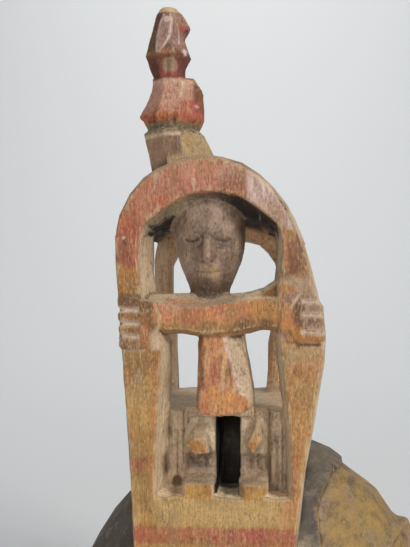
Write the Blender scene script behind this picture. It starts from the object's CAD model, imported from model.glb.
import math

import bpy
import numpy as np
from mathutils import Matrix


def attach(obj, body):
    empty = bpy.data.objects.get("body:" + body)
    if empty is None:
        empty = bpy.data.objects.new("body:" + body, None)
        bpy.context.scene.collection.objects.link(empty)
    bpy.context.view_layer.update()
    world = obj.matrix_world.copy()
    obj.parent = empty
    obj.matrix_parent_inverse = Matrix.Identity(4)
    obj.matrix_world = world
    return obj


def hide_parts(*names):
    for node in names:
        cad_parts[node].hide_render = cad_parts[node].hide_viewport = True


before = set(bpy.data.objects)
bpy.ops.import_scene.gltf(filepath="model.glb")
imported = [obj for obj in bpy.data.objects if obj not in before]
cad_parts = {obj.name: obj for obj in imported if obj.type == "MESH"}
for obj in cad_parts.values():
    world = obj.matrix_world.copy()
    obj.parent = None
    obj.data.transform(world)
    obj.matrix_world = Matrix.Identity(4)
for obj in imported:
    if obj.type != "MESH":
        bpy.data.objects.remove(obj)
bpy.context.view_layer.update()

blockShift = 33.525  # mm from the block's own middle line to the frame's origin, along X

# Lens and sensor in mm, places and sizes in metres
cameraSet = {"lens": 59.23, "sensor": 36, "place": (0.02292, -0.60704, 0.270), "turnDeg": 6}

stageSet = {
    "width": 18, "front": -3.5, "back": 2.6, "height": 5, "sweep": 1.4, "sweepSteps": 18,
    "colour": (0.80, 0.81, 0.81), "roughness": 0.9,
}

airLight = ((0.94, 0.97, 1.0), 0.27)  # tint and strength of the light from all round

lightSet = {  # place, aim, size, watts, tint
    "key": ((1.05, -0.95, 1.0), (0, 0, 0.27), 0.4, 12.2, (1.0, 0.98, 0.95)),
    "fill": ((-0.2, -1.5, 0.4), (0, 0, 0.25), 0.9, 5.6, (0.97, 0.98, 1)),
    "top": ((0.1, 0.05, 1.5), (0, 0, 0.2), 0.8, 3.2, (1, 1, 1)),
    "wall": ((-0.22, 0.9, 2.15), (-0.22, 2.6, 1.3), 1.0, 23.5, (1, 1, 1)),
}


# Small helpers

def setMode(mode):
    bpy.ops.object.mode_set(mode=mode)


def deselectAll():
    if bpy.context.object and bpy.context.object.mode != "OBJECT":
        setMode("OBJECT")
    bpy.ops.object.select_all(action="DESELECT")


def makeActive(obj):
    deselectAll()
    obj.select_set(True)
    bpy.context.view_layer.objects.active = obj


def applyModifier(obj, kind, **settings):
    makeActive(obj)
    bpy.ops.object.modifier_add(type=kind)
    modifier = obj.modifiers[-1]
    for name, value in settings.items():
        setattr(modifier, name, value)
    bpy.ops.object.modifier_apply(modifier=modifier.name)


def ramp(value, low, high):
    t = np.clip((value - low) / (high - low), 0, 1)
    return t * t * (3 - 2 * t)


def hump(value, centre, width):
    return np.exp(-((value - centre) / width) ** 2)


def window(value, low, high, soft):
    half = soft / 2
    return ramp(value, low - half, low + half) * ramp(value, high + half, high - half)


def linear(red, green, blue):
    # screen colour, 0 to 255, as the shader wants it
    return tuple(((c / 255 + 0.055) / 1.055) ** 2.4 if c > 10 else c / 3295 for c in (red, green, blue))


# Repeatable noise on points in mm

def latticeNumber(ix, iy, iz, seed):
    # large odd numbers that mix the bits, so each corner gets its own value from 0 to 1
    n = (ix * 73856093) ^ (iy * 19349663) ^ (iz * 83492791) ^ (seed * 26544357)
    n = ((n ^ (n >> 13)) * 1274126177) & 0xFFFFFFFF
    n = ((n ^ (n >> 15)) * 668265263) & 0xFFFFFFFF
    return ((n ^ (n >> 16)) & 0xFFFFFF) / 0xFFFFFF


def softNoise(points, size, seed):
    scaled = points / np.asarray(size, float)
    base = np.floor(scaled).astype(np.int64)
    part = scaled - base
    part = part * part * (3 - 2 * part)
    total = np.zeros(len(points))
    for dx in (0, 1):
        for dy in (0, 1):
            for dz in (0, 1):
                corner = latticeNumber(base[:, 0] + dx, base[:, 1] + dy, base[:, 2] + dz, seed)
                across, along, up = np.abs(1 - np.array((dx, dy, dz)) - part).T
                total += corner * (across * along * up)
    return 2 * total - 1


def scoopNoise(points, size, seed):
    # 0 in the middle of each tool cut, 1 on the ridge between two cuts
    scaled = points / np.asarray(size, float)
    base = np.floor(scaled).astype(np.int64)
    nearest = np.full(len(points), 9.0)
    for dx in (-1, 0, 1):
        for dy in (-1, 0, 1):
            for dz in (-1, 0, 1):
                cell = [base[:, 0] + dx, base[:, 1] + dy, base[:, 2] + dz]
                gap = np.zeros(len(points))
                for axis in range(3):
                    jitter = latticeNumber(*cell, seed + axis)
                    gap += (scaled[:, axis] - cell[axis] - 0.15 - 0.7 * jitter) ** 2
                nearest = np.minimum(nearest, gap)
    return np.clip(nearest / 0.6, 0, 1.4)


# The wood's surface as arrays in mm, in the block's own X

class Surface:
    def __init__(self, obj):
        self.mesh = obj.data
        self.count = len(self.mesh.vertices)
        flat = np.zeros(self.count * 3)
        self.mesh.vertices.foreach_get("co", flat)
        self.points = flat.reshape(-1, 3) * 1000
        self.points[:, 0] += blockShift
        ends = np.zeros(len(self.mesh.edges) * 2, np.int64)
        self.mesh.edges.foreach_get("vertices", ends)
        self.ends = ends.reshape(-1, 2)
        self.degree = np.bincount(ends, minlength=self.count).astype(float)
        self.readNormals()

    def write(self):
        moved = self.points.copy()
        moved[:, 0] -= blockShift
        self.mesh.vertices.foreach_set("co", (moved / 1000).ravel())
        self.mesh.update()
        self.readNormals()

    def readNormals(self):
        flat = np.zeros(self.count * 3)
        self.mesh.vertex_normals.foreach_get("vector", flat)
        self.normals = flat.reshape(-1, 3)

    def around(self, values):
        # mean over each point's neighbours
        a, b = self.ends[:, 0], self.ends[:, 1]
        columns = values.reshape(self.count, -1)
        total = [np.bincount(a, c[b], self.count) + np.bincount(b, c[a], self.count) for c in columns.T]
        return (np.stack(total, 1) / self.degree[:, None]).reshape(values.shape)

    def relax(self, rounds, weight):
        # evens out the surface without shrinking it
        for _ in range(rounds):
            for strength in (0.6, -0.62):  # in, and a little further out again
                self.points += (self.around(self.points) - self.points) * strength * weight[:, None]

    def raiseBy(self, height):
        self.points += self.normals * height[:, None]

    def store(self, name, values):
        attribute = self.mesh.attributes.new(name, "FLOAT", "POINT")
        attribute.data.foreach_set("value", values.astype(np.float32))


# Where things are on the block, in mm

headCentreX = 30
hairThickness = 4
blockMiddle = 9  # between the posts' outer sides
figureMiddle, figureDepth = 0.5, -44  # the inner figure's head, in X and Y
chinHeight, faceLength = 262, 60  # of its face
# the bare head: degrees above the level, and how far out its surface is there
frontRadii = ((0, 6, 20, 38, 55, 69, 74, 80, 90), (133, 136, 133, 132, 140, 151.5, 157, 159.5, 160.5))
backRadii = ((0, 19, 35, 45, 54, 68, 79, 90), (130, 133, 137, 141, 147, 154, 158, 160.5))
sideRadii = ((0, 20, 40, 55, 70, 80, 90), (73, 79, 90, 106, 132, 149, 160.5))
hairline = (  # heights, and how far forward the hair reaches
    (-4, 14, 34, 56, 66, 78, 100, 115, 124, 131, 143, 146, 178),
    (84, 82, 78, 72, 66, 70, 69, 68, 66.5, 69, 76, 85, 88),
)
fingerGaps = {"left": (232, 240, 248), "right": (235.5, 245.5, 253.5)}  # heights between two fingers


def softInterp(value, table):
    # the table's curve with its corners rounded
    return sum(np.interp(value + step, *table) for step in (-8, -4, 0, 4, 8)) / 5


def headHeight(p):
    # mm above the bare head's surface
    x, y, z = p[:, 0] - headCentreX, p[:, 1], p[:, 2]
    radius = np.sqrt(x * x + y * y + z * z)
    level = np.sqrt(x * x + y * y) + 1e-6
    rise = np.degrees(np.arctan2(z, level))
    along = np.where(x > 0, softInterp(rise, frontRadii), softInterp(rise, backRadii))
    blunt = 2 + 0.3 * ramp(rise, 90, 60)
    total = (np.abs(x) / level / along) ** blunt + (np.abs(y) / level / softInterp(rise, sideRadii)) ** blunt
    return radius - total ** (-1 / blunt)


def faceFrame(p):
    # place on the big face, as shares of its length: down from the hairline, out from the middle
    top, chin = np.array([84.3, 141.4]), np.array([165.0, 11.8])
    length = np.linalg.norm(chin - top)
    down = (chin - top) / length
    return ((p[:, 0] - top[0]) * down[0] + (p[:, 2] - top[1]) * down[1]) / length, np.abs(p[:, 1]) / length


class Regions:
    # r.name is 0 to 1 at each point, for each part of the block that is cut or painted in its own way
    def __init__(self, **parts):
        for name, amount in parts.items():
            setattr(self, name, amount)


def makeRegions(surface):
    # the numbers are the parts' edges in mm, and slopes where they go with a normal
    p, n = surface.points, surface.normals
    x, y, z = p.T
    height = headHeight(p)
    nearHead = ramp(height, 9, 6) * ramp(z, 178, 172)
    nearHead = np.maximum(nearHead, np.maximum(ramp(z, 80, 76), ramp(x, 90, 94)))
    inside = ramp(height, -5, -8) * ramp(z, 112, 108)
    facing = ramp(-n[:, 1], 0.35, 0.7)
    nearFront = ramp(y, -57, -60) * ramp(np.abs(x - blockMiddle), 66, 64) * ramp(z, 84, 88)
    head = nearHead * (1 - inside) * (1 - nearFront * ramp(-n[:, 1], 0.3, 0.6))
    skin = ramp(x - np.interp(z, *hairline), -0.6, 0.6)
    skin = np.maximum(skin, ramp(height, 5.2, 6.4) * ramp(z, 80, 76) * (1 - inside))
    fromFigure, behindFigure = x - figureMiddle, y - figureDepth
    egg = (fromFigure / 25) ** 2 + (behindFigure / 26) ** 2 + ((z - 290) / 34) ** 2
    small = ramp(egg, 1.12, 0.98) * ramp(z, 256, 260) * ramp(y, -69.6, -68.6)
    neck = ramp(np.hypot(fromFigure, behindFigure), 16, 14.5) * window(z, 255, 266, 2)
    small = np.maximum(small, neck * ramp(n[:, 2], 0.6, 0.2))
    tower = (1 - nearHead) * (1 - inside)
    finial = ramp(z, 336, 348) * ramp(x, 14, 4)
    plane = np.where(z < 183, -65, np.where((np.abs(x - 8) > 44) | (z > 263), -67.5, -59))
    openCage = ramp(y, -50, -46) * ramp(y, 43, 40)
    low = ramp(-n[:, 2], 0.25, 0.6) * ramp(y, 46, 42)
    outer = np.maximum(ramp(np.abs(x - blockMiddle), 42, 50), ramp(y, 56, 64)) * ramp(y, -64, -60)
    under = ramp(z, 284, 289) * tower * (1 - small) * ramp(n[:, 2], 0.3, 0.0)
    legs = ramp(z, 134, 136) * ramp(z, 187, 184) * ramp(np.abs(x - 11.5), 27, 25)
    slotWide = ramp(np.abs(x - 12.7), 8.4, 7.4) * ramp(np.abs(y + 38), 31, 28)
    torsoBack = np.interp(z, (188, 191), (-58.5, -32))
    return Regions(
        head=head,
        hair=head * (1 - skin),
        skin=head * skin,
        hollow=inside,
        tower=tower,
        outer=outer * tower * (1 - finial) * ramp(z, 352, 340),
        figureHead=small,
        finial=finial,
        front=facing * ramp(y, plane, plane - 2) * tower * (1 - small) * (1 - finial),
        hands=ramp(y, -62, -66) * window(z, 224, 258, 2) * ramp(np.abs(x - 8.5), 35, 37),
        legs=legs * ramp(y, -10, -14) * tower,
        torso=ramp(np.abs(x - 11), 19, 17.5) * window(z, 181, 235, 2) * ramp(y - torsoBack, 1, -1),
        recess=window(z, 134, 190, 2) * ramp(np.abs(x - 10), 44, 42) * ramp(np.abs(y + 55), 14, 12),
        arms=window(z, 229, 263, 3) * ramp(np.abs(x - 8), 47, 43) * ramp(y, -36, -40) * (1 - small),
        ceiling=under * low * window(y, -71, -46, 3),
        roof=under * np.maximum(low, 0.95 * openCage) * ramp(y, -72, -58),
        slot=slotWide * window(z, 135.5, 182, 2),
    )


# The mask: one block of wood, cut, painted and worn

maskSet = {
    "name": "mask", "node": "crest_mask", "slot": "carved_wood",
    "voxel": 0.0009, "quickVoxel": 0.0014, "triangles": 196000, "mergeGap": 1e-5,
    "headRounds": 26, "woodRounds": 2, "nearRounds": 4, "wideRounds": 24, "nearMm": 0.25, "wideMm": 1.0,
}

cutSet = {  # depths and sizes of the tool marks, in mm
    "wobble": (0.45, (16, 16, 26)), "ripple": (0.22, (5, 5, 9)), "furrow": (0.16, (1.9, 1.9, 20)),
    "hairScoop": (0.5, (13, 13, 17)), "hollowScoop": (1.4, (16, 16, 16)), "backScoop": (1.0, (12, 15, 22)),
    "splinter": (1.2, (2.4, 7, 9)), "rough": (0.9, (6, 6, 6)), "lip": (2.6, (2.8, 20, 20)),
    "armWave": (0.9, (13, 13, 10)), "bodyCut": (0.5, (3.4, 3.4, 24)), "headCut": (0.35, (6, 6, 8)),
    "headPit": (0.2, (2.4, 2.4, 2.4)), "recessRough": (0.5, (4, 6, 8)), "knot": (0.35, (2.6, 2.6, 4)),
}

# Scored lines in the leg recess: x, z from and to, half width, depth
scores = (
    (-26.9, 145, 158, 0.45, 0.35), (-20.0, 137, 171, 0.55, 0.5), (-16.6, 150, 184, 0.45, 0.2),
    (38.3, 141, 157, 0.5, 0.3), (42.6, 137, 169, 0.55, 0.5), (45.8, 138, 176, 0.45, 0.25),
)


def copyOfNode(nodeName, pieceName):
    piece = bpy.data.objects.new(pieceName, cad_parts[nodeName].data.copy())
    bpy.context.scene.collection.objects.link(piece)
    piece.data.materials.clear()
    makeActive(piece)
    setMode("EDIT")
    bpy.ops.mesh.select_all(action="SELECT")
    bpy.ops.mesh.remove_doubles(threshold=maskSet["mergeGap"])
    setMode("OBJECT")
    return piece


def ridged(name, p, seed, noise=softNoise):
    depth, size = cutSet[name]
    return depth * noise(p, size, seed)


def figureFrame(x, z):
    # place on the small face, as shares of its length: up from the chin, out from the middle
    return (z - chinHeight) / faceLength, np.abs(x - figureMiddle) / faceLength


def lidLine(v):
    # height at which the small face's lids meet
    return 0.462 + 4 * (v - 0.165) ** 2


def smallFace(p):
    # lids, nostrils and lips of the inner figure's plain face
    x, y, z = p.T
    h, v = figureFrame(x, z)
    ahead = ramp(y, -50, -54)
    ball = np.sqrt(((h - 0.47) / 0.06) ** 2 + ((v - 0.165) / 0.085) ** 2)
    rim = 0.45 * hump(ball, 1.12, 0.16) * ramp(h, 0.44, 0.47) - 0.25 * hump(ball, 1.42, 0.16)
    slit = -0.9 * hump(h, lidLine(v), 0.012) * ramp(ball, 1.1, 0.8)
    parting = -0.9 * hump(h, 0.147 + 0.6 * v * v, 0.012) * ramp(v, 0.16, 0.12)
    nostril = -1.2 * hump(h, 0.247, 0.016) * hump(v, 0.052, 0.022)
    wing = 0.8 * hump(h, 0.275, 0.03) * hump(v, 0.1, 0.025)
    groove = -0.4 * hump(h, 0.21, 0.02) * hump(v, 0, 0.02)
    brow = 0.6 * hump(h, 0.575 - 0.5 * (v - 0.15) ** 2, 0.02) * ramp(v, 0.3, 0.2)
    return ahead * (rim + slit + parting + nostril + wing + groove + brow)


def bigFace(p):
    # the same plain face at full size
    u, v = faceFrame(p)
    ball = np.sqrt(((u - 0.41) / 0.05) ** 2 + ((v - 0.17) / 0.085) ** 2)
    rim = 0.8 * hump(ball, 1.1, 0.2) - 0.5 * hump(ball, 1.45, 0.2)
    slit = -1.6 * hump(u, 0.418 - 2.5 * (v - 0.17) ** 2, 0.006) * ramp(ball, 1.1, 0.85)
    parting = -1.8 * hump(u, 0.783 - 0.2 * v * v, 0.006) * ramp(v, 0.15, 0.11)
    nostril = -3 * hump(u, 0.668, 0.012) * hump(v, 0.045, 0.018)
    groove = -0.9 * hump(u, 0.71, 0.02) * hump(v, 0, 0.012)
    brow = 1.0 * hump(u, 0.325 + 0.9 * (v - 0.14) ** 2, 0.012) * ramp(v, 0.3, 0.24)
    return rim + slit + parting + nostril + groove + brow


def cutMarks(surface, r):
    p = surface.points
    x, y, z = p.T
    plain = r.tower * (1 - r.figureHead)
    grain = ridged("ripple", p, 12) + ridged("furrow", p, 13)
    height = plain * (ridged("wobble", p, 11) + grain * (1 - 0.75 * r.finial))
    inRecess = r.recess * ramp(y, -66, -62)
    height += inRecess * (ridged("recessRough", p, 14) + ridged("knot", p, 15))
    height += r.hair * (ridged("hairScoop", p, 21, scoopNoise) - 0.25)
    height += r.hollow * ridged("hollowScoop", p, 31, scoopNoise)
    behind = ramp(y, -40, -20) * plain * (1 - r.roof)
    height += behind * (ridged("backScoop", p, 41, scoopNoise) - 0.2)
    lip = r.roof * hump(y, -42, 8)
    torn = r.roof * (0.45 + 0.55 * ramp(x, -10, 10))
    height += torn * (ridged("splinter", p, 51) + ridged("rough", p, 52)) + lip * ridged("lip", p, 53)
    height += r.arms * (ridged("armWave", p, 81) - 0.2) + r.torso * ridged("bodyCut", p, 82)
    height += r.figureHead * (ridged("headCut", p, 84) + ridged("headPit", p, 85))
    for place, low, high, half, depth in scores:
        run = inRecess * window(z, low, high, 4) * ramp(-surface.normals[:, 1], 0.1, 0.5)
        height -= run * depth * 0.6 * hump(x + 0.3 * softNoise(p, 9, 83), place, half)
    pit = ((x + 20.3) / 3.2) ** 2 + ((z - 139) / 4) ** 2 + ((y + 47) / 7) ** 2
    height -= 2.2 * r.recess * ramp(pit, 1.3, 0.2)
    height += r.skin * (bigFace(p) + 0.3 * softNoise(p, 12, 61)) + r.figureHead * smallFace(p)
    ridgeLine = -1.1 * hump(np.abs(y), 21 + 1.2 * softNoise(p, 15, 71), 0.9) * ramp(x, -46, -52)
    height += r.hair * ridgeLine
    return height


def roundHead(surface, r):
    # evens out the flats that the solid's coarse skin leaves on the hair, away from the ears
    x, _, z = surface.points.T
    over = headHeight(surface.points) - hairThickness
    clear = np.maximum(ramp(z, 76, 84), ramp(x, 56, 46))
    surface.raiseBy(-over * ramp(np.abs(over), 2.5, 1.2) * r.hair * clear)


def trimEdges(surface, r):
    # the torso's hem, the hands' outer edges, the gaps between fingers and the ragged sill
    p = surface.points
    x, y, z = p.T
    corner = 0.5 * np.maximum(0, -x - 1.5) ** 1.5 + 0.35 * np.maximum(0, x - 23.5) ** 1.5
    hem = 184.6 + 0.0085 * (x - 6) ** 2 + corner
    block = r.torso * ramp(z, 195, 192)
    z += block * np.maximum(0, hem - z)
    held = r.hands > 0.5
    y[held] = np.maximum(y[held], -70.7)
    x[held] = np.maximum(x[held], np.interp(z[held], (224, 236, 254), (-51.6, -52.8, -53.6)))
    x[held] = np.minimum(x[held], np.interp(z[held], (231, 245, 259), (71.8, 70.4, 67.3)))
    for side, heights in fingerGaps.items():
        inner = ramp(x, -38.5, -42) if side == "left" else ramp(x, 56, 59.5)
        outer = ramp(x, -48, -53) if side == "left" else -ramp(x, 65, 70)
        for height in heights:
            gap = r.hands * inner * hump(z + 0.4 * softNoise(p, 7, 93), height, 1.4)
            y += 1.5 * gap * ramp(y, -64, -69)
            x += 1.4 * gap * outer
    sill = hump(z, 135.5, 3) * ramp(y, -60, -66) * r.tower
    z += sill * (1.1 * softNoise(p, (6, 40, 40), 91) + 0.5 * softNoise(p, (2.2, 40, 40), 92))


def carveMask():
    piece = copyOfNode(maskSet["node"], maskSet["name"])
    voxel = maskSet["voxel"]
    applyModifier(piece, "REMESH", mode="VOXEL", voxel_size=voxel, adaptivity=0)
    surface = Surface(piece)
    print("block remeshed:", surface.count, "points")
    r = makeRegions(surface)
    rounds = int(maskSet["headRounds"] * (maskSet["voxel"] / voxel) ** 2)
    surface.relax(rounds, np.clip(r.head + r.hollow, 0, 1))
    crispParts = 0.7 * r.finial + 0.8 * r.hands
    surface.relax(maskSet["woodRounds"], np.clip(r.tower - crispParts, 0, 1))
    surface.write()
    roundHead(surface, r)
    trimEdges(surface, r)
    surface.write()
    surface.raiseBy(cutMarks(surface, r))
    surface.points[:, 2] = np.maximum(surface.points[:, 2], 0)
    surface.write()
    return piece, surface


# Paint and wear. A brush's numbers are mm on the block and shares of the coat, from 0 to 1

colours = {name: linear(*rgb) for name, rgb in {
    "bareLight": (222, 197, 162), "bare": (206, 180, 148), "bareShade": (178, 148, 118),
    "backFace": (255, 200, 150), "sill": (250, 224, 186), "rawInside": (146, 122, 96), "soot": (24, 16, 11),
    "pitch": (5, 4, 3), "torso": (206, 150, 100), "olive": (138, 122, 94), "umber": (76, 56, 44),
    "dust": (188, 162, 132), "mouse": (138, 116, 98), "ochre": (186, 138, 70), "ochrePale": (200, 164, 106),
    "ochreDeep": (172, 114, 52), "ochreBrown": (140, 104, 60), "orange": (190, 116, 74),
    "brick": (168, 88, 62), "red": (176, 84, 70), "pinkGrey": (222, 194, 184), "armOrange": (202, 130, 80),
    "hem": (212, 144, 84), "rust": (136, 84, 52), "brown": (106, 70, 44), "mauve": (158, 122, 108),
    "hair": (92, 84, 72), "hairDark": (74, 68, 60), "hairDust": (126, 112, 92), "skin": (160, 128, 74),
    "skinMauve": (146, 124, 112), "figure": (134, 108, 88), "figurePale": (172, 146, 122),
    "figureDark": (82, 62, 48), "claret": (108, 52, 42), "fingerBrown": (132, 88, 50),
    "salmon": (196, 144, 120), "stem": (184, 154, 110), "stemShade": (126, 94, 72),
    "stemSide": (178, 138, 108), "tuft": (200, 172, 128), "fingerLine": (222, 196, 172),
    "lipOchre": (178, 136, 72), "spotGrey": (72, 68, 62),
}.items()}

# Coats on the front: colour, x from and to, z from and to, soft edge, raggedness, strength
frontCoats = (
    ("ochre", -70, 90, 80, 350, 1, 0, 1.0),
    ("ochrePale", -32, 52, 119, 137, 6, 1, 0.75),
    ("ochreDeep", -48, -31, 88, 134, 8, 1, 0.3),
    ("orange", 44, 60, 90, 130, 8, 1, 0.35),
    ("ochreBrown", -44, -33, 138, 200, 5, 2, 0.3),
    ("ochreDeep", -56, -26, 208, 226, 7, 1, 0.75),
    ("bareShade", -43.5, -37.5, 204, 214, 4, 1, 0.6),
    ("red", -60, -46, 196, 208, 3, 1, 0.4),
    ("red", -60, -44.5, 169, 180, 2, 1, 0.4),
    ("orange", -33, -27, 140, 222, 3, 1, 0.4),
    ("red", -58, -37, 150.5, 159, 3, 0.6, 0.75),
    ("red", -40, -31, 151.5, 157, 3, 0.6, 0.4),
    ("red", -60, 60, 107.3, 117.4, 2.2, 0.35, 0.62),
    ("red", 2, 38, 107, 118.4, 3, 0.5, 0.6),
    ("red", -50, -36, 107, 117.4, 3, 0.5, 0.4),
    ("orange", -60, 60, 84, 106, 4, 0.5, 0.3),
    ("bareShade", 47, 72, 215, 229, 5, 1, 0.55),
    ("orange", 47, 80, 192, 217, 9, 1, 0.45),
    ("orange", 68.5, 80, 200, 226, 3, 1, 0.6),
    ("ochrePale", 52, 66, 178, 208, 8, 1, 0.35),
    ("orange", 47, 62, 160, 196, 8, 1, 0.35),
    ("brick", 49, 56, 145, 162, 4, 1, 0.4),
    ("brick", -70, -30, 262, 312, 7, 0.7, 0.95),
    ("orange", -60, -50.5, 262, 312, 3, 1, 0.5),
    ("red", -43, -36, 262, 300, 3, 1, 0.45),
    ("rust", -58, -46, 275, 288, 5, 1, 0.6),
    ("ochreDeep", -70, -36, 257, 273.5, 2, 0.4, 0.95),
    ("orange", -52, 30, 300, 350, 6, 1, 0.95),
    ("brick", -50, -22, 290, 322, 8, 1, 0.6),
    ("brick", -30, 24, 318, 328, 4, 1, 0.6),
    ("red", -16, 16, 318, 323, 3, 0.6, 0.6),
    ("bare", -42, -33, 298, 320, 6, 1, 0.15),
    ("salmon", -34, 12, 316, 350, 7, 1, 0.35),
    ("orange", 46, 57, 126, 162, 4, 1, 0.45),
    ("brown", -56, -30, 212, 221, 4, 2, 0.3),
    ("brown", 50, 62, 205, 214, 5, 2, 0.3),
    ("ochrePale", -50, -36, 120, 146, 6, 2, 0.35),
    ("mauve", 10, 25, 322, 335, 3, 0.6, 0.55),
    ("brick", 8, 28, 316, 326, 4, 0.6, 0.4),
    ("pinkGrey", 25, 58, 297, 336, 2.5, 0.5, 0.9),
    ("salmon", 30, 50, 296, 312, 5, 1, 0.55),
    ("rust", 43, 80, 260, 297, 4, 0.6, 0.9),
    ("orange", 43, 50, 275, 296, 3, 0.6, 0.5),
    ("brown", 50, 58, 270, 290, 4, 1, 0.5),
    ("bareShade", 47, 80, 252, 269, 5, 0.8, 0.85),
)

# The arch's upper edge, and the dark line between its front and its right rim, x and z
archTop = ((-38.5, -30, -18, -3, 10, 21, 31, 39), (328, 334, 339.5, 342.5, 341, 337.5, 331, 323.5))
shoulderLine = ((14, 339), (24, 335.4), (33, 329), (41, 320), (48, 308.5), (53.5, 296), (58, 283))


def dab(p, place, half, soft=0.3):
    # a soft oval in the front view
    off = np.sqrt(((p[:, 0] - place[0]) / half[0]) ** 2 + ((p[:, 2] - place[1]) / half[1]) ** 2)
    return ramp(off, 1 + soft, 1 - soft)


def stroke(p, start, end, half, soft=0.5):
    # a soft line in the front view
    along = np.array(end, float) - start
    way = p[:, [0, 2]] - start
    share = np.clip(way @ along / (along @ along), 0, 1)
    off = np.linalg.norm(way - share[:, None] * along, axis=1)
    return ramp(off, half * (1 + soft), half * (1 - soft))


def paintMask(surface, r):
    p, n = surface.points, surface.normals
    x, y, z = p.T
    coat = np.tile(colours["bare"], (surface.count, 1))

    def brush(colour, amount):
        amount = np.clip(amount, 0, 1)[:, None]
        coat[:] = coat * (1 - amount) + np.array(colours[colour]) * amount

    cloud = softNoise(p, (14, 14, 22), 101)
    patch = softNoise(p, (6, 6, 11), 102)
    streak = softNoise(p, (1.5, 1.5, 14), 103)
    fleck = softNoise(p, (1.3, 1.3, 5), 104)
    brush("bareShade", r.tower * (0.3 + 0.5 * ramp(cloud + 0.4 * streak, -0.2, 0.7)))
    brush("mouse", r.tower * ramp(patch + 0.5 * streak, 0.15, 0.8) * 0.45)
    brush("bareShade", r.tower * ramp(y, 30, 44) * 0.8)
    brush("bareLight", r.tower * ramp(np.abs(n[:, 0]), 0.5, 0.9) * ramp(-y, 20, 50) * 0.7)
    brush("backFace", r.tower * ramp(-n[:, 1], 0.4, 0.8) * window(y, 40, 56, 4) * 0.9)
    outer = r.outer * (1 - r.front)
    brush("umber", outer * ramp(cloud + 0.6 * patch, 0.2, 0.9) * 0.3)
    brush("ochreBrown", outer * ramp(y + 4 * patch, -46, -60) * ramp(cloud, -0.3, 0.4) * 0.5)
    brush("orange", outer * ramp(z, 250, 290) * ramp(y + 5 * patch, -50, -64) * 0.4)
    brush("rawInside", r.hollow)
    paintRoof(surface, r, brush, cloud, streak)
    bend = np.stack([1.3 * patch, 1.6 * cloud + 1.2 * patch + 1.6 * streak + 0.8 * fleck], 1)
    for colour, left, right, low, high, soft, ragged, strength in frontCoats:
        across, up = x + bend[:, 0] * ragged, z + bend[:, 1] * ragged
        brush(colour, r.front * window(across, left, right, soft) * window(up, low, high, soft) * strength)
    rim = np.interp(x, *archTop)
    crown = r.front * window(x, -33, 30, 8) * ramp(z - rim + 0.7 * patch, -3.4, -2.2)
    brush("bare", crown * 0.85)
    lower = r.front * ramp(z, 262, 256)
    broad = softNoise(p, (9, 9, 15), 106)
    brush("ochreBrown", lower * ramp(broad + 0.5 * patch, 0.25, 0.8) * 0.45)
    brush("ochrePale", lower * ramp(-broad + 0.5 * streak, 0.3, 0.9) * 0.4)
    brush("rust", r.front * (1 - lower) * ramp(broad + 0.5 * patch, 0.3, 0.8) * 0.35)
    brush("salmon", r.front * (1 - lower) * ramp(-broad + 0.5 * streak, 0.3, 0.9) * 0.35)
    worn = ramp(fleck + 0.5 * patch, 0.3, 0.8) * r.front
    brush("ochrePale", worn * 0.3 * ramp(z, 308, 296))
    brush("bare", worn * 0.65 * ramp(z, 296, 308))
    brush("rust", ramp(fleck - 0.6 * patch, 0.35, 0.8) * r.front * 0.35 * ramp(z, 288, 300))
    paintArms(surface, r, brush, cloud, patch, streak)
    paintTorso(surface, r, brush, streak)
    paintLegs(surface, r, brush, cloud, patch, streak)
    paintFinial(surface, r, brush, patch, streak)
    paintHeads(surface, r, brush, cloud, patch)
    for start, end in zip(shoulderLine, shoulderLine[1:]):
        brush("umber", r.tower * ramp(y, -60, -64) * stroke(p, start, end, 0.55, 0.6) * 0.75)
    brush("spotGrey", r.front * dab(p, (-49.2, 289.6), (1.5, 2.6)) * 0.7)
    brush("pinkGrey", r.front * dab(p, (-49.6, 291.8), (0.9, 0.9)) * 0.9)
    return coat


def paintRoof(surface, r, brush, cloud, streak):
    x, y, _ = surface.points.T
    ceiling = r.ceiling
    brush("soot", r.roof * 0.96 * (1 - ceiling))
    right = ramp(x + 5 * cloud + 3 * streak, 2, 14)
    brush("olive", ceiling)
    brush("mouse", ceiling * ramp(x, -14, -4) * 0.8)
    brush("dust", ceiling * window(x, -14, 6, 5) * ramp(y, -50, -56) * 0.4)
    back = y + 3 * streak + 6 * ramp(x, -14, -26)
    brush("umber", ceiling * ramp(back, -57, -52) * 0.9)
    brush("soot", ceiling * ramp(back, -54, -49))
    brush("umber", ceiling * ramp(x + 4 * streak, -20, -4) * ramp(y + 3 * streak, -60, -66) * 0.85)
    brush("soot", ceiling * right * 0.96)
    brush("soot", ceiling * ramp(x, -30, -18) * ramp(y + 0.8 * streak, -67.5, -69) * 0.8)
    torn = window(x, 28, 43, 3) * window(y + 1.5 * streak, -67.5, -66, 1)
    brush("rust", ceiling * torn * 0.6)
    brush("pitch", r.slot)


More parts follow.
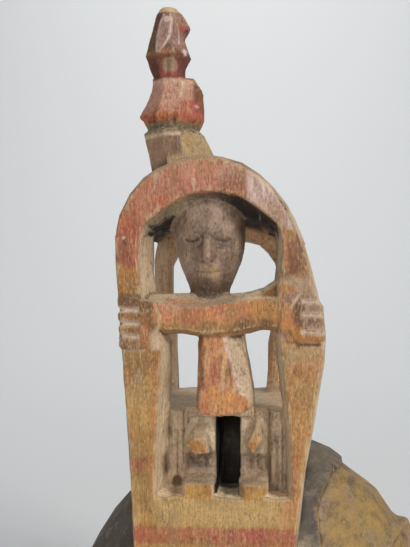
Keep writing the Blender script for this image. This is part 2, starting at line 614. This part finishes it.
def paintArms(surface, r, brush, cloud, patch, streak):
    p, n = surface.points, surface.normals
    x, y, z = p.T
    face = r.arms * ramp(-n[:, 1], 0.35, 0.7) * ramp(y, -58, -61)
    above = r.arms * ramp(n[:, 2], 0.3, 0.7)
    below = r.arms * ramp(-n[:, 2], 0.2, 0.6)
    brush("dust", above * 0.95)
    brush("bareLight", above * ramp(x, -14, -22) * 0.6)
    brush("sill", above * ramp(x, 14, 24) * 0.7)
    brush("salmon", above * window(x, -27, -12, 5) * ramp(y, -58, -64) * 0.5)
    brush("ochreBrown", below * ramp(y, -52, -58) * 0.7)
    brush("armOrange", face)
    brush("brick", face * ramp(patch + streak * 0.5, 0.1, 0.7) * window(x, -26, 14, 6) * 0.5)
    brush("ochre", face * ramp(z + 2 * patch, 243, 239) * 0.6)
    brush("ochreBrown", face * ramp(z + 2.5 * patch + 1.5 * cloud, 240.5, 238) * 0.6)
    brush("ochre", face * window(x, 27, 50, 5) * 0.6)
    brush("brown", face * window(x, 16, 42, 6) * ramp(z + 2 * patch, 245, 240.5) * 0.7)
    brush("ochreBrown", face * ramp(cloud + 0.5 * streak, 0.1, 0.7) * 0.45)
    brush("salmon", face * window(x, -30, -14, 6) * ramp(z, 243, 249) * 0.45)
    hand = r.hands * ramp(-n[:, 1], 0.2, 0.6)
    left, right = hand * ramp(x, -30, -33), hand * ramp(x, 44, 47)
    brush("fingerBrown", left)
    brush("ochreDeep", left * ramp(cloud + patch, 0.1, 0.7) * 0.6)
    brush("rust", left * ramp(patch - 0.5 * cloud, -0.1, 0.5) * 0.7)
    brush("brown", left * ramp(z, 249, 251) * ramp(x, -37, -41) * 0.5)
    brush("orange", left * dab(p, (-36.5, 233), (4, 7)) * 0.7)
    brush("mauve", right * ramp(z, 228, 231) * 0.9)
    brush("fingerBrown", right * ramp(patch, -0.2, 0.4) * ramp(z, 228, 231) * 0.6)
    brush("ochreDeep", right * stroke(p, (48, 247), (55, 233), 6))
    brush("armOrange", right * stroke(p, (47, 249), (50, 240), 4) * 0.6)
    brush("ochreDeep", right * stroke(p, (55, 232), (71, 231.8), 2.4))
    brush("rust", right * dab(p, (56, 246), (4, 8)) * 0.95)
    brush("brown", right * stroke(p, (59.5, 256), (55, 242), 1.8) * 0.75)
    brush("bareLight", right * stroke(p, (51, 249.5), (57, 258.5), 0.7) * 0.8)
    brush("umber", r.front * stroke(p, (50, 236), (56, 226.8), 0.8) * 0.6)
    for side, heights in fingerGaps.items():
        wide = ramp(x, -39, -41) if side == "left" else ramp(x, 56.5, 58.5)
        for height in heights:
            gap = r.hands * wide * hump(z + 0.4 * softNoise(p, 7, 93), height, 1.5)
            brush("fingerLine", gap * 1.3)
    brush("umber", r.front * window(x, 56, 72, 3) * window(z, 226.6, 228.6, 0.8) * 0.9)
    brush("dust", r.front * window(x, -54, -36, 3) * window(z, 222.6, 224.2, 1) * 0.7)
    brush("bare", hand * window(x, -33, -24, 3) * ramp(z, 238, 232) * 0.9)


def paintTorso(surface, r, brush, streak):
    p = surface.points
    x, _, z = p.T
    body = r.torso * ramp(-surface.normals[:, 1], 0.1, 0.4) * ramp(z, 234, 230)
    brush("torso", body)
    brush("bare", body * ramp(streak, 0.0, 0.6) * window(x, 6, 16, 4) * 0.6)
    brush("rust", body * ramp(-streak, 0.05, 0.5) * 0.6)
    brush("brown", body * ramp(softNoise(p, (1.6, 1.6, 10), 131), 0.3, 0.7) * 0.45)
    brush("rust", body * ramp(x + 1.2 * streak, -0.5, -3) * 0.6)
    brush("orange", body * window(x + 1.5 * streak, -1, 9, 4) * ramp(streak, 0.3, -0.3) * 0.5)
    brush("red", body * stroke(p, (3.2, 234), (4.8, 204), 1.1) * 0.5)
    brush("red", body * dab(p, (2.5, 205), (4.5, 6), 0.7) * 0.35)
    edge = np.interp(z, (193, 199, 206, 215, 224, 233), (25.5, 20.8, 18.4, 15.3, 12.3, 11.1))
    brush("bare", body * ramp(x - edge, 0, 2.5) * 0.9)
    brush("brown", body * ramp(x - edge, 2, 4) * ramp(streak, 0.1, 0.6) * 0.5)
    brush("pinkGrey", body * hump(x + 0.4 * streak, edge + 0.2, 0.9) * ramp(z, 193, 197) * 0.9)
    top = np.interp(x, (-5, -0.2, 4, 10, 16, 22, 27), (190, 198.6, 203, 200, 199, 198.3, 192.4))
    hem = body * ramp(z + 1.6 * streak, top + 1, top - 1)
    brush("hem", hem)
    brush("orange", hem * ramp(softNoise(p, (4, 4, 5), 132), -0.2, 0.4) * 0.7)
    brush("brick", hem * ramp(x, 5, -4) * 0.55)
    brush("ochre", hem * ramp(streak, 0, 0.6) * 0.4)
    brush("red", hem * ramp(z, 188, 185.5) * 0.3)
    brush("bareLight", body * hump(z + 1.6 * streak, top + 0.6, 0.8) * ramp(x, 14, 19) * 0.8)


def paintLegs(surface, r, brush, cloud, patch, streak):
    p, n = surface.points, surface.normals
    x, y, z = p.T
    skin = r.legs * (1 - r.slot) * ramp(y, -69, -68)
    wall = r.recess * ramp(y, -66, -62) * (1 - r.slot)
    brush("bareLight", wall * 0.75)
    brush("mouse", skin * ramp(patch + 0.5 * streak, -0.2, 0.5) * 0.4)
    shade = dab(p, (-6, 152.5), (11.5, 11.5), 0.55) + 0.6 * dab(p, (28.5, 154), (9, 11), 0.6)
    brush("umber", skin * shade * ramp(y, -69, -66) * 0.8)
    brush("mauve", skin * shade * ramp(cloud, 0, 0.6) * 0.25)
    brush("rust", skin * dab(p, (29, 150), (5, 5)) * 0.4)
    scratch = softNoise(p, (1.4, 1.4, 9), 133)
    brush("umber", wall * ramp(scratch + 0.4 * patch, 0.4, 0.75) * 0.5)
    brush("bareLight", wall * ramp(-scratch + 0.5 * patch, 0.45, 0.8) * 0.45)
    dusty = r.recess * ramp(n[:, 2], 0.3, 0.7)
    brush("dust", dusty * 0.7)
    brush("sill", dusty * ramp(z, 140, 137))
    brush("sill", r.tower * window(z, 183, 194, 2) * ramp(n[:, 2], 0.5, 0.9) * 0.6)
    knees = r.legs * window(z, 158, 180, 2) * ramp(y, -67.6, -69)
    brush("ochreDeep", knees)
    brush("ochrePale", knees * ramp(z, 168.3, 170.4) * 0.5)
    feet = r.front * window(z, 134.5, 146, 2) * np.maximum(window(x, -13, 4, 1), window(x, 23, 35, 1))
    brush("ochre", feet)
    brush("ochreDeep", feet * ramp(patch + 0.4 * streak, -0.3, 0.4) * 0.7)
    brush("brown", feet * dab(p, (29, 142.5), (4.5, 1.8), 0.7) * 0.35)
    brush("brown", r.recess * dab(p, (-20, 139.5), (3.6, 4)) * 0.7)
    for place, low, high, half, _ in scores:
        line = r.recess * window(z, low, high, 4) * ramp(y, -67, -64) * hump(x, place, half * 1.3)
        brush("umber", line * (0.6 + 0.4 * patch))


def paintFinial(surface, r, brush, patch, streak):
    p, n = surface.points, surface.normals
    x, _, z = p.T
    f = r.finial
    front = f * ramp(-n[:, 1], 0.0, 0.4)
    crumb = softNoise(p, (1.5, 1.5, 3), 141)
    brush("rust", f)
    upper = f * ramp(z, 394, 398)
    upperLeft = upper * ramp(-n[:, 0], 0.15, 0.5)
    brush("brown", upperLeft * 0.85)
    brush("claret", upperLeft * ramp(patch, -0.1, 0.4) * 0.5)
    brush("mauve", upper * ramp(n[:, 0], 0.25, 0.6) * 0.6)
    brush("mauve", front * dab(p, (-24, 422), (4.5, 13)) * 0.6)
    brush("brown", front * dab(p, (-28, 414), (6, 4)) * 0.5)
    brush("orange", front * window(z, 410, 413.5, 1.5) * ramp(crumb, -0.4, 0.2) * 0.55)
    middle = np.interp(z, (411, 423, 437), (-34.2, -30.6, -28.7))
    half = np.interp(z, (411, 416, 423, 433, 437.5), (0.4, 2.4, 4.0, 3.7, 2.4))
    off = np.abs(x - middle) / half
    lens = front * window(z, 411.5, 438, 1)
    brush("mauve", lens * ramp(off, 1.05, 0.9) * 0.85)
    brush("brown", lens * ramp(off, 0.8, 0.5) * ramp(patch + crumb, 0, 0.7) * 0.45)
    brush("pinkGrey", lens * hump(off, 1.0, 0.24) * 1.1)
    brush("pinkGrey", lens * dab(p, (-28.5, 434.5), (2.6, 2.2)) * 0.7)
    brush("pinkGrey", front * stroke(p, (-21.5, 430), (-21, 418), 0.5) * 0.5)
    brush("red", f * dab(p, (-18.5, 429), (3, 3.5)) * 0.75)
    brush("umber", f * dab(p, (-15.8, 426.8), (2.4, 1.5)) * 0.9)
    brush("claret", f * ramp(n[:, 0], 0.2, 0.6) * window(z, 399, 414, 4) * 0.85)
    brush("pinkGrey", f * dab(p, (-17.5, 412.5), (1.6, 2.6)) * ramp(crumb, -0.4, 0.1) * 0.9)
    neck = window(z + 0.8 * patch, 394, 410, 2)
    brush("claret", f * neck * 0.9)
    brush("bareShade", front * neck * dab(p, (-26.5, 404), (4.5, 5.5)) * 0.75)
    brush("red", front * neck * dab(p, (-26, 397.5), (7, 2.6)) * 0.7)
    brush("brown", f * window(z + 0.8 * patch, 409, 411, 1) * 0.8)
    lower = window(z, 366, 395, 2)
    brush("rust", f * lower)
    salmonSide = front * lower * ramp(x, -10, -13)
    brush("salmon", salmonSide * ramp(z + 1.2 * patch, 371, 374))
    brush("orange", salmonSide * ramp(z + 2 * patch, 381, 374) * 0.4)
    brush("bare", salmonSide * stroke(p, (-17.5, 393), (-19, 382), 0.8) * 0.8)
    brush("bare", f * window(z + patch, 391.5, 394.5, 1) * 0.5)
    brush("brown", f * lower * ramp(x, -13, -10) * ramp(patch + crumb, -0.5, 0.4) * 0.6)
    brush("orange", f * window(z + 1.2 * patch, 366, 373, 1.5) * 0.85)
    brush("red", f * window(z + 1.2 * patch, 369, 373, 1.5) * ramp(crumb, -0.2, 0.4) * 0.8)
    brush("umber", f * window(z + patch, 366.5, 369, 1) * ramp(crumb + patch, -0.2, 0.6) * 0.7)
    dots = ramp(softNoise(p, (1.6, 1.6, 2.4), 121), -0.1, 0.3)
    brush("red", f * dab(p, (-13.5, 375), (7.5, 6.5)) * (0.4 + 0.6 * dots))
    brush("pinkGrey", f * dab(p, (-9.5, 377.5), (1.6, 0.9)) * 0.8)
    brush("olive", f * ramp(z, 367.5, 365))
    brush("bare", f * window(z + patch, 358.5, 364, 1) * ramp(crumb, -0.1, 0.5) * 0.7)
    brush("brown", f * window(z + 0.6 * patch, 360, 362, 1) * ramp(crumb, 0.2, -0.4) * 0.7)
    stem = f * ramp(z, 361, 359.5)
    brush("stem", stem)
    shade = ramp(x + 1.5 * patch, -16.5, -18.5) * ramp(z + 2 * patch, 341, 346)
    brush("stemShade", stem * shade * 0.9)
    brush("mauve", stem * shade * ramp(streak, -0.2, 0.4) * 0.5)
    brush("ochreDeep", stem * ramp(x, -18, -14) * ramp(patch, 0, 0.5) * 0.35)
    brush("stemSide", stem * ramp(-n[:, 0], 0.3, 0.6) * 0.9)
    brush("bareLight", stem * window(z, 357.2, 359.6, 0.8) * ramp(x, -17, -19) * 0.7)
    brush("tuft", f * ramp(z + 0.8 * crumb, 438.8, 440))


def paintHeads(surface, r, brush, cloud, patch):
    p, n = surface.points, surface.normals
    x, y, z = p.T
    skin = r.skin
    hair = r.hair
    figure = r.figureHead
    brush("hair", hair)
    brush("hairDark", hair * ramp(cloud, 0, 0.7) * 0.6)
    brush("hairDust", hair * ramp(n[:, 2] + 0.25 * patch, 0.45, 0.9) * 0.6)
    brush("hairDust", hair * ramp(patch + 0.7 * softNoise(p, (2.5, 2.5, 4), 113), 0.05, 0.6) * 0.5)
    brush("hairDark", hair * ramp(softNoise(p, (3, 3, 5), 115), 0.2, 0.6) * 0.4)
    brush("skin", skin)
    brush("skinMauve", skin * ramp(softNoise(p, 11, 111) + 0.4 * patch, 0.15, 0.7) * 0.4)
    fromLine = x - np.interp(z, *hairline)
    brush("skinMauve", skin * ramp(fromLine + 2 * patch, 9, 2) * 0.6)
    brush("ochrePale", r.head * hump(fromLine, 1.0, 1.2) * 0.6)
    spot = ((x - 89.5) / 3.2) ** 2 + ((z - 136) / 2.6) ** 2
    brush("spotGrey", skin * ramp(spot, 1.3, 0.3) * 0.7)
    brush("figure", figure)
    blot = softNoise(p, (3, 3, 4), 114)
    brush("figurePale", figure * ramp(patch + 0.5 * blot, 0, 0.6) * 0.6)
    brush("figureDark", figure * ramp(-patch + 0.8 * blot, 0.1, 0.6) * 0.6)
    brush("figureDark", figure * ramp(np.abs(n[:, 0]), 0.75, 0.98) * 0.4)
    brush("figurePale", figure * ramp(x, 2, -12) * 0.5)
    brush("figureDark", figure * ramp(x, 6, 18) * ramp(z, 287, 277) * 0.4)
    h, v = figureFrame(x, z)
    brush("figureDark", figure * ramp(h, 0.16, 0.0) * 0.85)
    brush("figureDark", figure * hump(h, 0.45, 0.05) * hump(v, 0.165, 0.07) * 0.55)
    brush("umber", figure * hump(h, lidLine(v), 0.016) * ramp(v, 0.24, 0.22) * 0.7)
    lips = window(h, 0.09, 0.2, 0.03) * ramp(v, 0.15, 0.1) * ramp(y, -58, -61)
    brush("lipOchre", figure * lips * ramp(patch, -0.5, 0.3) * 0.5)


def wearMask(surface):
    # how far each point stands out of its near and its wide surroundings, in mm
    p = surface.points
    wide = p.copy()
    for step in range(1, maskSet["wideRounds"] + 1):
        wide += (surface.around(wide) - wide) * 0.8
        if step == maskSet["nearRounds"]:
            near = wide.copy()
    fine = ((p - near) * surface.normals).sum(1)
    broad = ((p - wide) * surface.normals).sum(1)
    return fine, broad


def storeAmounts(surface, r):
    # what the material reads at each point
    fine, broad = wearMask(surface)
    reach = ramp(np.abs(surface.points[:, 0] - 8.5), 46, 49)
    shelf = r.recess * ramp(surface.normals[:, 2], 0.3, 0.7) * 0.8
    amounts = {
        "painted": r.front + r.torso * 0.5 + 0.4 * r.finial + r.skin,
        "polish": r.figureHead + 0.6 * r.front + 0.7 * r.finial,
        "grainy": r.tower * (1 - r.figureHead),
        "sooty": r.roof + r.slot,
        "dirtless": r.hands * reach + 0.5 * (r.finial + r.front + r.figureHead) + 0.8 * r.recess + shelf,
        "crisp": 1 - 0.55 * r.head,
        "hairy": r.hair,
        "skinny": r.skin,
        "outer": r.outer * (1 - r.front),
        "ridge": fine / maskSet["nearMm"],
        "swell": broad / maskSet["wideMm"],
    }
    for name, values in amounts.items():
        surface.store(name, np.clip(values, -1, 1))


def markLoose(piece, surface, r):
    # what the front view shows keeps its fine mesh, and the rest may be thinned
    p = surface.points
    x, y, z = p.T
    keep = r.front + r.figureHead + r.legs + 0.9 * r.torso + r.arms + r.hands + r.recess
    keep = np.maximum(np.clip(keep, 0, 1), 0.7 * r.roof * ramp(y, -20, -34))
    keep = np.maximum(keep * ramp(y, -30, -40), 0.9 * r.finial)
    u, v = faceFrame(p)
    features = r.skin * window(u, 0.3, 0.85, 0.05) * ramp(v, 0.34, 0.3)
    line = hump(x - np.interp(z, *hairline), 0, 4) * ramp(z, 12, 20) * r.head
    seen = r.skin * ramp(y, -5, -15) * ramp(z, 80, 90)
    keep = np.maximum(keep, 0.45 * np.maximum(np.maximum(line, seen), features))
    loose = 1 - keep
    loose = np.where(loose < 0.5, 0, 0.3 + 0.7 * loose)
    group = piece.vertex_groups.new(name="loose")
    for level in (1.0, 0.6):
        chosen = np.nonzero(np.abs(loose - level) <= 0.2)[0]
        group.add(chosen.tolist(), level, "REPLACE")


def finishMask(piece, surface):
    r = makeRegions(surface)
    coat = paintMask(surface, r)
    attribute = piece.data.attributes.new("coat", "FLOAT_COLOR", "POINT")
    rgba = np.hstack([coat, np.ones((surface.count, 1))])
    attribute.data.foreach_set("color", rgba.astype(np.float32).ravel())
    storeAmounts(surface, r)
    print("mask carved and painted")
    markLoose(piece, surface, r)
    ratio = maskSet["triangles"] / (2 * len(piece.data.polygons))
    applyModifier(piece, "DECIMATE", ratio=min(1, ratio), vertex_group="loose", vertex_group_factor=1.0)
    piece.vertex_groups.clear()
    piece.data.shade_smooth()
    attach(piece, "root")
    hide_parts(maskSet["node"])
    print("mask finished:", len(piece.data.polygons), "faces")


mask, woodSurface = carveMask()
finishMask(mask, woodSurface)


# Shader maths: Python expressions on sockets add the nodes

class Wire:
    def __init__(self, graph, socket):
        self.graph, self.socket = graph, socket

    def maths(self, operation, first, second):
        return self.graph.add("ShaderNodeMath", {"operation": operation}, {0: first, 1: second})

    def __add__(self, other):
        return self.maths("ADD", self, other)

    def __radd__(self, other):
        return self.maths("ADD", other, self)

    def __sub__(self, other):
        return self.maths("SUBTRACT", self, other)

    def __rsub__(self, other):
        return self.maths("SUBTRACT", other, self)

    def __mul__(self, other):
        return self.maths("MULTIPLY", self, other)

    def __rmul__(self, other):
        return self.maths("MULTIPLY", other, self)


class Graph:
    def __init__(self, material):
        material.use_nodes = True
        self.tree = material.node_tree
        self.shader = self.tree.nodes["Principled BSDF"]

    def add(self, kind, settings, sockets, output=0):
        node = self.tree.nodes.new(kind)
        for name, value in settings.items():
            setattr(node, name, value)
        self.join(node, sockets)
        return Wire(self, node.outputs[output])

    def join(self, node, sockets):
        for name, value in sockets.items():
            if isinstance(value, Wire):
                self.tree.links.new(value.socket, node.inputs[name])
            else:
                node.inputs[name].default_value = value

    def noise(self, coords, scale, detail, rough):
        if isinstance(scale, tuple):
            coords, scale = self.add("ShaderNodeMapping", {}, {"Vector": coords, "Scale": scale}), 1.0
        sockets = {"Vector": coords, "Scale": scale, "Detail": detail, "Roughness": rough}
        return self.add("ShaderNodeTexNoise", {}, sockets)

    def between(self, value, low, high):
        sockets = {"Value": value, "From Min": low, "From Max": high}
        return self.add("ShaderNodeMapRange", {"interpolation_type": "SMOOTHSTEP"}, sockets)

    def level(self, value, low, high, start, end):
        sockets = {"Value": value, "From Min": low, "From Max": high, "To Min": start, "To Max": end}
        return self.add("ShaderNodeMapRange", {}, sockets)

    def blend(self, factor, first, second, mode="MIX"):
        settings = {"data_type": "RGBA", "blend_type": mode, "clamp_factor": True}
        return self.add("ShaderNodeMix", settings, {0: factor, 6: first, 7: second}, output=2)

    def attribute(self, name, output="Fac"):
        return self.add("ShaderNodeAttribute", {"attribute_name": name}, {}, output=output)


# Carved wood: worn paint over vertical grain, rubbed ridges, dusty hollows

woodSet = {
    "noises": {  # size per metre, along X, Y and Z where there are three, detail, roughness
        "fibre": ((1150, 1150, 160), 3, 0.65), "strand": ((430, 430, 38), 3, 0.6),
        "crumb": ((800, 800, 400), 3, 0.65), "plank": ((270, 270, 12), 4, 0.6), "mottle": (130, 4, 0.6),
        "blotch": (46, 3, 0.55), "grit": (1150, 2, 0.6), "clump": (52, 4, 0.6), "dapple": (130, 3, 0.6),
    },
    "tints": {
        "underPaint": (204, 176, 140), "dirt": (48, 35, 26), "brownFleck": (92, 60, 38),
        "oliveStain": (128, 104, 66), "mauve": (146, 122, 112), "sage": (112, 98, 60),
        "yellow": (184, 146, 82), "slate": (70, 64, 58), "ash": (134, 122, 106), "plum": (104, 90, 88),
        "plankDark": (116, 86, 60), "plankPale": (230, 208, 172),
    },
    "bumpMm": 1.25,
}


def makeCarvedWood():
    # noises and amounts run from 0 to 1, and between() turns a stretch of them into a mask
    material = bpy.data.materials.new("carved wood")
    g = Graph(material)
    tints = {name: (*linear(*rgb), 1) for name, rgb in woodSet["tints"].items()}
    coords = g.add("ShaderNodeTexCoord", {}, {}, output="Object")
    fibre, strand, crumb, plank, mottle, blotch, grit, clump, dapple = (
        g.noise(coords, *row) for row in woodSet["noises"].values()
    )
    coat = g.attribute("coat", "Color")
    ridge, swell, painted, grainy, sooty, polish, dirtless, crisp, outer = (
        g.attribute(name)
        for name in ("ridge", "swell", "painted", "grainy", "sooty", "polish", "dirtless", "crisp", "outer")
    )
    hair, skin = (g.between(g.attribute(name), 0.4, 0.9) for name in ("hairy", "skinny"))
    clean = 1.0 - sooty

    # blotches on the big head's face and hair, long grain on the bare sides
    blots = (
        (g.between(clump + (dapple - 0.5) * 0.5, 0.50, 0.64) * skin * 0.5, "mauve"),
        (g.between(dapple + (mottle - 0.5) * 0.6, 0.52, 0.68) * skin * 0.6, "sage"),
        (g.between(dapple + (clump - 0.5) * 0.5, 0.46, 0.34) * skin * 0.5, "yellow"),
        (g.between(clump + (dapple - 0.5) * 0.7, 0.50, 0.64) * hair * 0.5, "slate"),
        (g.between(dapple + (mottle - 0.5) * 0.6, 0.56, 0.70) * hair * 0.5, "plum"),
        (g.between(dapple + (clump - 0.5) * 0.4, 0.44, 0.32) * hair * 0.6, "ash"),
        (g.between(plank + (clump - 0.5) * 0.5, 0.52, 0.68) * outer * 0.55, "plankDark"),
        (g.between(plank + (mottle - 0.5) * 0.3, 0.46, 0.32) * outer * 0.5, "plankPale"),
    )
    for amount, colour in blots:
        coat = g.blend(amount, coat, tints[colour])

    # large and small changes of tone in the coat itself
    uneven = (mottle - 0.5) * 0.8 + (fibre - 0.5) * 1.0 + (crumb - 0.5) * 1.3
    tone = 1.0 + uneven * crisp
    toned = g.blend(1.0, coat, g.add("ShaderNodeCombineColor", {}, {0: tone, 1: tone, 2: tone}), "MULTIPLY")
    stain = g.between(blotch + (mottle - 0.5) * 0.7 + (crumb - 0.5) * 0.5, 0.50, 0.70) * painted * 0.42
    stained = g.blend(stain, toned, tints["oliveStain"])
    # crumbs of brown dirt and of bare wood, a millimetre or two across
    brown = g.between(crumb + (mottle - 0.5) * 0.5, 0.42, 0.28) * (0.45 - painted * 0.1) * crisp * clean
    crumbed = g.blend(brown, stained, tints["brownFleck"])
    bare = g.between(crumb + (blotch - 0.5) * 0.4, 0.56, 0.69) * (painted * 0.25 + 0.22) * crisp * clean
    crumbed = g.blend(bare, crumbed, tints["underPaint"])
    flecks = g.between(grit + (mottle - 0.5) * 0.5 + (fibre - 0.5) * 0.4, 0.56, 0.74) * 0.25 * clean
    flecked = g.blend(flecks, crumbed, tints["brownFleck"])
    # paint thins along the grain and on ridges, down to pale wood
    thin = fibre * 0.6 + strand * 0.4 + (mottle - 0.5) * 0.35 + ridge * 0.08
    rubbed = g.between(thin, 0.57, 0.68) * painted * 0.42
    worn = g.blend(rubbed, flecked, tints["underPaint"])
    # open grain darkens the wood in thin vertical lines
    seams = g.between(strand * 0.6 + fibre * 0.4, 0.43, 0.31) * (grainy - painted * 0.5) * 0.55
    lined = g.blend(seams, worn, tints["dirt"])
    broken = g.between(fibre + (mottle - 0.5) * 0.8, 0.42, 0.62)
    edge = g.between(ridge + swell * 0.4, 0.45, 1.15) * clean * (broken * 0.45 + 0.05)
    edge = edge * (grainy * 0.85 + 0.15)
    edged = g.blend(edge, lined, tints["underPaint"])
    sunk = ridge * -0.9 - swell * 0.4 + (crumb - 0.5) * 0.6 + (mottle - 0.5) * 0.6
    hollow = g.between(sunk, 0.3, 1.15) * (0.62 - dirtless * 0.45)
    final = g.blend(hollow, edged, tints["dirt"])

    dull = (1.0 - polish) * 0.3 + sooty * 0.6
    rough = g.level(mottle + dull + (crumb - 0.5) * 0.3, 0.3, 0.9, 0.36, 0.78)
    height = strand * grainy * 0.4 + fibre * 0.25 + grit * 0.15 + mottle * 0.3 + crumb * 0.35
    height = height + (dapple * 0.8 + clump * 0.8) * hair + dapple * skin * 0.4 + plank * outer * 0.5
    depth = woodSet["bumpMm"] / 1000
    bump = g.add("ShaderNodeBump", {}, {"Height": height, "Strength": 1.0, "Distance": depth})
    g.join(g.shader, {"Base Color": final, "Roughness": rough, "Normal": bump})
    return material


mask.data.materials.append(makeCarvedWood())


def plainMaterial(name, colour, roughness):
    material = bpy.data.materials.new(name)
    material.use_nodes = True
    shader = material.node_tree.nodes["Principled BSDF"]
    shader.inputs["Base Color"].default_value = (*colour, 1)
    shader.inputs["Roughness"].default_value = roughness
    return material


# Stage, light and camera

def pickEdges(obj, wanted):
    # selects the edges with two wanted ends, and leaves the piece in edit mode
    setMode("EDIT")
    bpy.ops.mesh.select_all(action="DESELECT")
    setMode("OBJECT")
    for edge in obj.data.edges:
        edge.select = all(wanted(obj.data.vertices[i].co) for i in edge.vertices)
    setMode("EDIT")


def makeStage():
    deselectAll()
    s = stageSet
    bpy.ops.mesh.primitive_plane_add(size=1, location=(0, (s["front"] + s["back"]) / 2, 0))
    sweep = bpy.context.object
    sweep.name = "studio_sweep"
    sweep.scale = (s["width"], s["back"] - s["front"], 1)
    bpy.ops.object.transform_apply(location=True, rotation=True, scale=True)
    nearBack = s["back"] - 0.01
    pickEdges(sweep, lambda end: end.y > nearBack)
    bpy.ops.mesh.select_mode(type="EDGE")
    bpy.ops.mesh.extrude_region_move(TRANSFORM_OT_translate={"value": (0, 0, s["height"])})
    pickEdges(sweep, lambda end: end.y > nearBack and end.z < 0.01)
    bpy.ops.mesh.bevel(offset=s["sweep"], segments=s["sweepSteps"], affect="EDGES")
    setMode("OBJECT")
    bpy.ops.object.shade_smooth()
    sweep.data.materials.append(plainMaterial("studio paper", s["colour"], s["roughness"]))


def makeLights():
    colour, strength = airLight
    world = bpy.data.worlds.new("studio air")
    bpy.context.scene.world = world
    world.use_nodes = True
    background = world.node_tree.nodes["Background"]
    background.inputs["Color"].default_value = (*colour, 1)
    background.inputs["Strength"].default_value = strength
    for name, (place, aim, size, watts, tint) in lightSet.items():
        bpy.ops.object.light_add(type="AREA", location=place)
        lamp = bpy.context.object
        lamp.name = name + " softbox"
        lamp.data.size = size
        lamp.data.energy = watts
        lamp.data.color = tint
        away = lamp.location - type(lamp.location)(aim)
        lamp.rotation_euler = away.to_track_quat("Z", "Y").to_euler()


def makeCamera():
    s = cameraSet
    bpy.ops.object.camera_add(location=s["place"], rotation=(math.radians(90), 0, math.radians(s["turnDeg"])))
    camera = bpy.context.object
    camera.data.lens = s["lens"]
    camera.data.sensor_width = s["sensor"]
    bpy.context.scene.camera = camera


makeStage()
makeLights()
makeCamera()
bpy.context.scene.view_settings.view_transform = "Standard"
print("stage, light and camera set")
